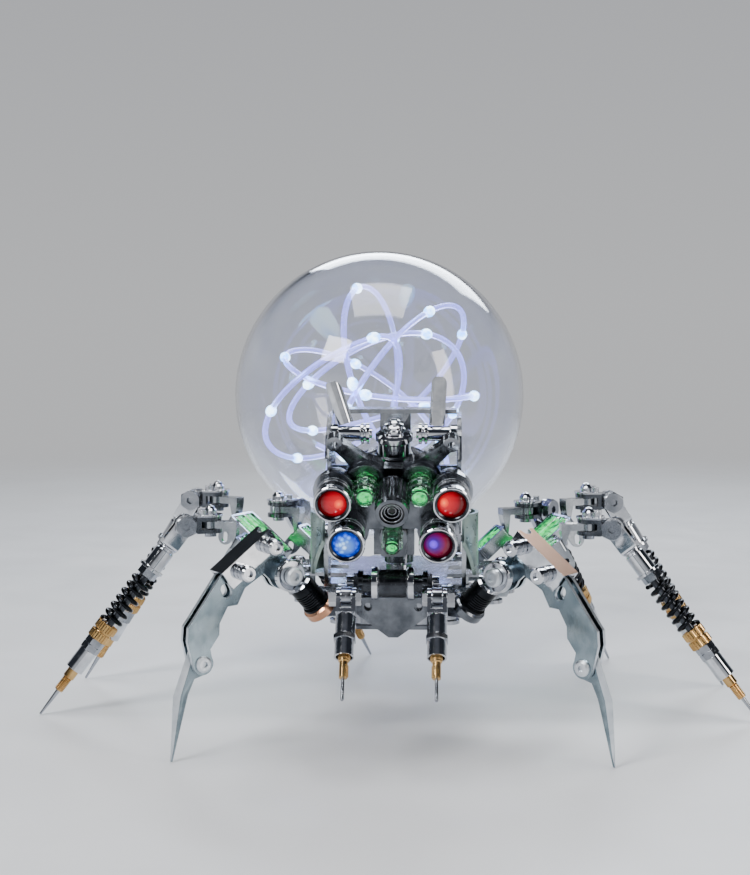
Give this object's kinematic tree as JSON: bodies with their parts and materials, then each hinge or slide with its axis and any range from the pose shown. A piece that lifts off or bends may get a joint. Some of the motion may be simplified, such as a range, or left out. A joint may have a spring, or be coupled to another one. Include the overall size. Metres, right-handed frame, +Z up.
{
  "type": "hexapod spider robot",
  "caption": "Polished-metal robot spider: sprung stilt legs, blade front legs, barrel-eyed head that nods, and a clear globe abdomen holding a wound light string.",
  "frame": {"origin": "centre of the bounding box in X and Y, on the floor that the feet stand on", "axes": "+Z up, -Y is the way the head looks, +X is the side on the right of a viewer facing the head"},
  "size_m": [0.2488, 0.2286, 0.1633],
  "materials": {
    "bead": "bright, pale blue",
    "black_lens": "gloss black",
    "blue_lens": "clear blue",
    "brass": "turned, lightly tarnished",
    "chrome": "polished",
    "clear_glass": "clear",
    "dark_steel": "dark, turned",
    "frosted": "satin, faintly green",
    "green_tube": "clear over a green core",
    "red_lens": "clear red",
    "steel": "brushed to a soft sheen",
    "strand": "milky, smooth",
    "violet_lens": "clear violet"
  },
  "bodies": {
    "chassis": {"body_plates": "chrome", "chassis_posts": "steel", "cheek_panels": "frosted", "mouth_rollers": "chrome"},
    "head": {"head_frame": "steel", "crown": "chrome", "horns": "chrome", "light_tubes": "green_tube", "eye_barrels": "dark_steel", "red_eye_lenses": "red_lens", "blue_eye_lens": "blue_lens", "violet_eye_lens": "violet_lens", "snout_barrel": "dark_steel", "snout_lens": "black_lens"},
    "abdomen": {"abdomen_arm": "steel", "globe": "clear_glass", "light_string": "strand", "light_beads": "bead"},
    "leg2_right_femur": {"leg2_right_femur_cage": "steel", "leg2_right_femur_vials": "green_tube"},
    "leg2_right_knee": {"leg2_right_knee_block": "chrome"},
    "leg2_right_lower": {"leg2_right_shin": "steel", "leg2_right_foot": "brass"},
    "leg2_left_femur": {"leg2_left_femur_cage": "steel", "leg2_left_femur_vials": "green_tube"},
    "leg2_left_knee": {"leg2_left_knee_block": "chrome"},
    "leg2_left_lower": {"leg2_left_shin": "steel", "leg2_left_foot": "brass"},
    "leg3_right_femur": {"leg3_right_femur_cage": "steel", "leg3_right_femur_vials": "green_tube"},
    "leg3_right_knee": {"leg3_right_knee_block": "chrome"},
    "leg3_right_lower": {"leg3_right_shin": "steel", "leg3_right_foot": "brass"},
    "leg3_left_femur": {"leg3_left_femur_cage": "steel", "leg3_left_femur_vials": "green_tube"},
    "leg3_left_knee": {"leg3_left_knee_block": "chrome"},
    "leg3_left_lower": {"leg3_left_shin": "steel", "leg3_left_foot": "brass"},
    "leg4_right_femur": {"leg4_right_femur_cage": "steel", "leg4_right_femur_vials": "green_tube"},
    "leg4_right_knee": {"leg4_right_knee_block": "chrome"},
    "leg4_right_lower": {"leg4_right_shin": "steel", "leg4_right_foot": "brass"},
    "leg4_left_femur": {"leg4_left_femur_cage": "steel", "leg4_left_femur_vials": "green_tube"},
    "leg4_left_knee": {"leg4_left_knee_block": "chrome"},
    "leg4_left_lower": {"leg4_left_shin": "steel", "leg4_left_foot": "brass"},
    "leg1_right_upper": {"leg1_right_thigh": "steel"},
    "leg1_right_lower": {"leg1_right_channel": "chrome", "leg1_right_plates": "chrome"},
    "leg1_right_tip": {"leg1_right_blade": "steel"},
    "leg1_left_upper": {"leg1_left_thigh": "steel"},
    "leg1_left_lower": {"leg1_left_channel": "chrome", "leg1_left_plates": "chrome"},
    "leg1_left_tip": {"leg1_left_blade": "steel"},
    "right_pedipalp": {"right_palp": "chrome", "right_palp_tip": "brass"},
    "left_pedipalp": {"left_palp": "chrome", "left_palp_tip": "brass"}
  },
  "joints": [
    {"name": "head_nod", "type": "hinge", "parent": "chassis", "child": "head", "pos_m": [0, -0.05916, 0.066], "axis": [1, 0, 0], "range_deg": [-6, 6]},
    {"name": "abdomen_turn", "type": "hinge", "parent": "chassis", "child": "abdomen", "pos_m": [0, -0.01916, 0.0576], "axis": [0, 0, 1], "range_deg": [-15, 0]},
    {"name": "leg2_right_hip_swing", "type": "hinge", "parent": "chassis", "child": "leg2_right_femur", "pos_m": [0.032, -0.02916, 0.0442], "axis": [0, 0, 1], "range_deg": [-10, 10]},
    {"name": "leg2_right_knee_swivel", "type": "hinge", "parent": "leg2_right_femur", "child": "leg2_right_knee", "pos_m": [0.0663, -0.02486, 0.065], "axis": [0, 0, 1], "range_deg": [-25, 25]},
    {"name": "leg2_right_knee_bend", "type": "hinge", "parent": "leg2_right_knee", "child": "leg2_right_lower", "pos_m": [0.075, -0.02718, 0.065], "axis": [0.2571, 0.9664, 0], "range_deg": [-12, 20]},
    {"name": "leg2_left_hip_swing", "type": "hinge", "parent": "chassis", "child": "leg2_left_femur", "pos_m": [-0.032, -0.02916, 0.0442], "axis": [0, 0, -1], "range_deg": [-10, 10]},
    {"name": "leg2_left_knee_swivel", "type": "hinge", "parent": "leg2_left_femur", "child": "leg2_left_knee", "pos_m": [-0.0663, -0.02486, 0.065], "axis": [0, 0, -1], "range_deg": [-25, 25]},
    {"name": "leg2_left_knee_bend", "type": "hinge", "parent": "leg2_left_knee", "child": "leg2_left_lower", "pos_m": [-0.075, -0.02718, 0.065], "axis": [0.2571, -0.9664, 0], "range_deg": [-12, 20]},
    {"name": "leg3_right_hip_swing", "type": "hinge", "parent": "chassis", "child": "leg3_right_femur", "pos_m": [0.037, -0.00916, 0.0442], "axis": [0, 0, 1], "range_deg": [-10, 4]},
    {"name": "leg3_right_knee_swivel", "type": "hinge", "parent": "leg3_right_femur", "child": "leg3_right_knee", "pos_m": [0.0681, 0.00674, 0.07], "axis": [0, 0, 1], "range_deg": [-25, 25]},
    {"name": "leg3_right_knee_bend", "type": "hinge", "parent": "leg3_right_knee", "child": "leg3_right_lower", "pos_m": [0.07704, 0.00779, 0.07], "axis": [-0.1167, 0.9932, 0], "range_deg": [-12, 20]},
    {"name": "leg3_left_hip_swing", "type": "hinge", "parent": "chassis", "child": "leg3_left_femur", "pos_m": [-0.037, -0.00916, 0.0442], "axis": [0, 0, -1], "range_deg": [-10, 4]},
    {"name": "leg3_left_knee_swivel", "type": "hinge", "parent": "leg3_left_femur", "child": "leg3_left_knee", "pos_m": [-0.0681, 0.00674, 0.07], "axis": [0, 0, -1], "range_deg": [-25, 25]},
    {"name": "leg3_left_knee_bend", "type": "hinge", "parent": "leg3_left_knee", "child": "leg3_left_lower", "pos_m": [-0.07704, 0.00779, 0.07], "axis": [-0.1167, -0.9932, 0], "range_deg": [-12, 20]},
    {"name": "leg4_right_hip_swing", "type": "hinge", "parent": "chassis", "child": "leg4_right_femur", "pos_m": [0.022, 0.00084, 0.0442], "axis": [0, 0, 1], "range_deg": [-2, 8]},
    {"name": "leg4_right_knee_swivel", "type": "hinge", "parent": "leg4_right_femur", "child": "leg4_right_knee", "pos_m": [0.046, 0.00984, 0.066], "axis": [0, 0, 1], "range_deg": [-8, 30]},
    {"name": "leg4_right_knee_bend", "type": "hinge", "parent": "leg4_right_knee", "child": "leg4_right_lower", "pos_m": [0.05158, 0.0169, 0.066], "axis": [-0.7848, 0.6198, 0], "range_deg": [-8, 20]},
    {"name": "leg4_left_hip_swing", "type": "hinge", "parent": "chassis", "child": "leg4_left_femur", "pos_m": [-0.022, 0.00084, 0.0442], "axis": [0, 0, -1], "range_deg": [-2, 4]},
    {"name": "leg4_left_knee_swivel", "type": "hinge", "parent": "leg4_left_femur", "child": "leg4_left_knee", "pos_m": [-0.046, 0.00984, 0.066], "axis": [0, 0, -1], "range_deg": [-72, 0]},
    {"name": "leg4_left_knee_bend", "type": "hinge", "parent": "leg4_left_knee", "child": "leg4_left_lower", "pos_m": [-0.04105, 0.01735, 0.066], "axis": [-0.8348, 0.5505, 0], "range_deg": [-12, 20]},
    {"name": "leg1_right_hip_swing", "type": "hinge", "parent": "chassis", "child": "leg1_right_upper", "pos_m": [0.0168, -0.06536, 0.0442], "axis": [0, 0, 1], "range_deg": [-12, 12]},
    {"name": "leg1_right_knee_bend", "type": "hinge", "parent": "leg1_right_upper", "child": "leg1_right_lower", "pos_m": [0.03298, -0.07712, 0.056], "axis": [-0.5878, -0.809, 0], "range_deg": [-10, 25]},
    {"name": "leg1_right_blade_fold", "type": "hinge", "parent": "leg1_right_lower", "child": "leg1_right_tip", "pos_m": [0.06034, -0.08847, 0.03], "axis": [-0.5878, -0.809, 0], "range_deg": [-25, 25]},
    {"name": "leg1_left_hip_swing", "type": "hinge", "parent": "chassis", "child": "leg1_left_upper", "pos_m": [-0.0168, -0.06536, 0.0442], "axis": [0, 0, -1], "range_deg": [-12, 12]},
    {"name": "leg1_left_knee_bend", "type": "hinge", "parent": "leg1_left_upper", "child": "leg1_left_lower", "pos_m": [-0.03298, -0.07712, 0.056], "axis": [-0.5878, 0.809, 0], "range_deg": [-10, 25]},
    {"name": "leg1_left_blade_fold", "type": "hinge", "parent": "leg1_left_lower", "child": "leg1_left_tip", "pos_m": [-0.06034, -0.08847, 0.03], "axis": [-0.5878, 0.809, 0], "range_deg": [-25, 25]},
    {"name": "right_palp_swing", "type": "hinge", "parent": "chassis", "child": "right_pedipalp", "pos_m": [0.014, -0.09216, 0.052], "axis": [1, 0, 0], "range_deg": [-15, 25]},
    {"name": "left_palp_swing", "type": "hinge", "parent": "chassis", "child": "left_pedipalp", "pos_m": [-0.014, -0.09216, 0.052], "axis": [1, 0, 0], "range_deg": [-15, 25]}
  ]
}
